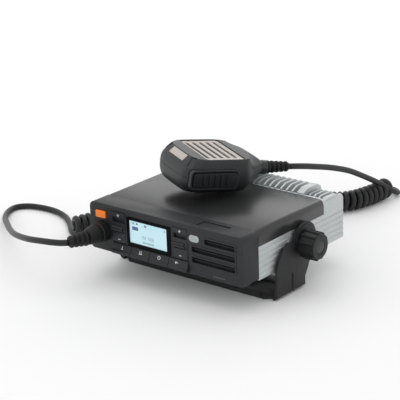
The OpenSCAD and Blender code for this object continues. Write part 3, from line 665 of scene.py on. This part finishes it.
for row in frame["record"]["subparts"]:
    give(frame["nodes"][row["node"]], row["material_slot"])
for piece in (cord, mic_lead):
    give(piece, "cord_jacket")
for piece in (plug_body, plug_relief, mic_relief):
    give(piece, "black_rubber")
for piece in (mic_front, mic_back, mic_neck):
    give(piece, "mic_plastic")


# ---------- printed marks ----------

RIGHT, UP = (1, 0, 0), (0, 0, 1)
INK_DEPTH = 0.05
BOX_FACES = ((3, 2, 1, 0), (4, 5, 6, 7), (0, 1, 5, 4), (1, 2, 6, 5), (2, 3, 7, 6), (3, 0, 4, 7))


def marks(name, body, slot_name, material, place, right, up, bars):
    """Thin printed shapes on a face: each bar is (across, up, width, height, turn in degrees)."""
    normal = Vector(right).cross(Vector(up)).normalized()
    verts, faces = [], []
    for across, rise, width, height, turn in bars:
        c, s = math.cos(math.radians(turn)), math.sin(math.radians(turn))
        base = len(verts)
        for lift in (0, INK_DEPTH):
            for x, y in ((-1, -1), (1, -1), (1, 1), (-1, 1)):
                dx, dy = x * width / 2, y * height / 2
                verts.append((Vector(place) + Vector(right) * (across + c * dx - s * dy)
                              + Vector(up) * (rise + s * dx + c * dy) + normal * lift) * MM)
        faces += [tuple(base + i for i in corners) for corners in BOX_FACES]
    obj = mesh_object(name, verts, faces, False)
    obj.data.materials.append(material)
    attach(obj, body)


def ring_bars(across, rise, radius, width, count=12):
    """Short bars in a circle, which overlap a little and look like a drawn ring."""
    overlap = 1.1
    length = 2 * math.pi * radius / count * overlap
    bars = []
    for k in range(count):
        angle = 2 * math.pi * k / count
        bars.append((across + radius * math.sin(angle), rise - radius * math.cos(angle),
                     length, width, 360 * k / count))
    return bars


def add_marks():
    key_face, key_up = (0, -71.22, 31), (0, 0.299, 0.954)
    stroke = 0.5
    key_marks = {
        "key_1": [(-46, 0, stroke, 2.6, 0), (-46, -1.3, 1.8, stroke, 0)],
        "key_2": [(-26.4, 0, stroke, 2.6, 0), (-24.8, 0, stroke, 2.6, 0), (-25.6, -1.3, 3.4, stroke, 0)],
        "key_ok": ring_bars(-5.4, 0, 1.3, stroke),
        "key_back": [(13.6, 0, 3.0, stroke, 0), (12.6, 0.55, 1.7, stroke, 45),
                     (12.6, -0.55, 1.7, stroke, -45)],
    }
    for key, bars in key_marks.items():
        marks(key + "_mark", key, "lens_plastic", LEGEND, key_face, RIGHT, key_up, bars)
    for body, x in (("volume_rocker", -50), ("channel_rocker", 16.8)):
        marks(body + "_marks", body, "lens_plastic", LEGEND, (x, -70.12, 48), RIGHT, UP,
              [(0, 10.6, 2.6, stroke, 0), (0, 10.6, stroke, 2.6, 0), (0, -10.6, 2.6, stroke, 0)])
    marks("lens_mark", "radio", "panel_plastic", LENS_INK, (32, -70.72, 55.4), RIGHT, UP,
          ring_bars(-1.6, 0, 1.0, 0.4, 10) + [(1.6, -0.6, 2, 0.4, 0), (1.6, 0.6, 2, 0.4, 0)])
    marks("corner_mark", "radio", "lens_plastic", MARK_INK, (57, -70.02, 27.2), RIGHT, UP,
          [(x, 0, 1.6, 0.5, 0) for x in (-5, -2.5, 0, 2.5, 5)])
    wide, tall, left, right, low, high = 48, 26, 2.6, 4.2, 3.1, 2.7
    marks("window_border", "radio", "window_acrylic", BORDER, (-16.7, -70.32, 47.1), RIGHT, UP,
          [((left - wide) / 2 + 0.1, 0, left, tall - 0.3, 0),
           ((wide - right) / 2 - 0.1, 0, right, tall - 0.3, 0),
           ((left - right) / 2, (low - tall) / 2 + 0.1, wide - left - right - 0.2, low, 0),
           ((left - right) / 2, (tall - high) / 2 - 0.1, wide - left - right - 0.2, high, 0)])
    screen = (-17.8, -68.86, 47.2)
    marks("screen_icons", "radio", "panel_plastic", LCD_INK, screen, RIGHT, UP,
          [(-14.4, 3.2, 6.6, 3.0, 0), (-17.4, 7.4, 0.5, 1.6, 0), (-16.4, 7.6, 0.5, 2.0, 0),
           (-15.4, 7.8, 0.5, 2.4, 0), (-12.4, 7.6, 1.8, 1.5, 0),
           (17.6, 6.8, 1.6, 0.4, 0), (18.2, 7.6, 0.4, 1.8, 0)])
    tiles = []
    for x in (-5.6, -3.4, 0.6, 2.8, 5.0):
        tiles += [(x, -3.2 + dz, 1.5, 0.35, 0) for dz in (-1.3, 0, 1.3)] + [(x - 0.6, -3.2, 0.35, 2.8, 0)]
    tiles += [(-6.2 + 1.4 * k, -7.6, 0.9, 1.5, 0) for k in range(9)] + [(-3.2, 7.2, 2.4, 2.0, 0)]
    marks("screen_text", "radio", "panel_plastic", LCD_PALE, screen, RIGHT, UP, tiles)


add_marks()


# ---------- rounded edges on the CAD nodes ----------

# Radius of the rounding for each node, in millimetres.
EDGES = {
    "front_panel": 0.55, "top_cover": 0.45, "chassis": 0.28, "mounting_bracket": 0.5, "emergency_key": 0.7,
    "key_1": 0.5, "key_2": 0.5, "key_ok": 0.5, "key_back": 0.5,
    "knob_left": 0.35, "knob_right": 0.35, "knob_cap_left": 0.3, "knob_cap_right": 0.3, "indicator_lens": 0.5,
    "mic_jack": 0.3, "plug_lock_ring": 0.25, "display_window": 0.3, "ptt_frame": 0.5, "ptt_button": 0.5,
    "mic_label_plate": 0.2, "mic_grille": 0.2, "hanger_stud": 0.3, "power_inlet": 0.3, "data_connector": 0.3,
    "antenna_connector": 0.2, "pivot_washers": 0.2, "bottom_screws": 0.15, "mic_screws": 0.15,
}


def round_edges(node, width):
    obj = frame["nodes"][node]
    add_weld(obj, 0.001)
    flat = obj.modifiers.new("flat", "DECIMATE")
    flat.decimate_type = "DISSOLVE"
    flat.angle_limit = math.radians(0.6)
    bevel = obj.modifiers.new("bevel", "BEVEL")
    bevel.width = width * MM
    bevel.segments = 3
    bevel.limit_method = "ANGLE"
    bevel.angle_limit = math.radians(32)
    bevel.use_clamp_overlap = True
    bevel.harden_normals = True
    for p in obj.data.polygons:
        p.use_smooth = True


def split_edges(node):
    """Keeps the creases of a node sharp, where they lie too close together to be rounded."""
    obj = frame["nodes"][node]
    add_weld(obj, 0.001)
    split = obj.modifiers.new("split", "EDGE_SPLIT")
    split.split_angle = math.radians(28)


for node, width in EDGES.items():
    round_edges(node, width)
for node in ("volume_rocker", "channel_rocker"):
    split_edges(node)


# ---------- stage ----------

def add_stage():
    half = 9
    n = Nodes("floor")
    n.link(n.mix(n.remap(n.noise(2, 2), 0.3, 0.7, 0, 1), (0.90, 0.90, 0.90), (0.92, 0.92, 0.92)),
           n.shader.inputs["Base Color"])
    n.link(n.remap(n.noise(40, 2), 0.3, 0.7, 0.7, 0.8), n.shader.inputs["Roughness"])
    n.shader.inputs["Specular IOR Level"].default_value = 0.1
    corners = [(-half, -half, 0), (half, -half, 0), (half, half, 0), (-half, half, 0)]
    floor = mesh_object("floor", corners, [(0, 1, 2, 3)], False)
    floor.data.materials.append(n.material)
    world = bpy.data.worlds.new("studio")
    bpy.context.scene.world = world
    world.use_nodes = True
    world.node_tree.nodes["Background"].inputs["Color"].default_value = (1, 1, 1, 1)
    world.node_tree.nodes["Background"].inputs["Strength"].default_value = 0.96

    def area(name, place, aim, size, power):
        data = bpy.data.lights.new(name, "AREA")
        data.shape = "RECTANGLE"
        data.size, data.size_y = size
        data.energy = power
        lamp = bpy.data.objects.new(name, data)
        bpy.context.scene.collection.objects.link(lamp)
        lamp.location = place
        lamp.rotation_mode = "QUATERNION"
        lamp.rotation_quaternion = (Vector(aim) - Vector(place)).to_track_quat("-Z", "Y")

    area("overhead", (-0.3, 0.3, 1.9), (0, 0, 0), (1.6, 1.6), 4)
    area("left_front", (-1.4, -1.2, 0.9), (0, 0, 0.05), (1.0, 0.8), 1.5)
    area("rear_left", (-0.9, 1.6, 1.0), (0, 0, 0.05), (1.4, 0.7), 3)
    view = bpy.context.scene.view_settings
    view.view_transform = "Standard"
    view.look = "None"
    view.exposure = 0
    view.gamma = 1


add_stage()
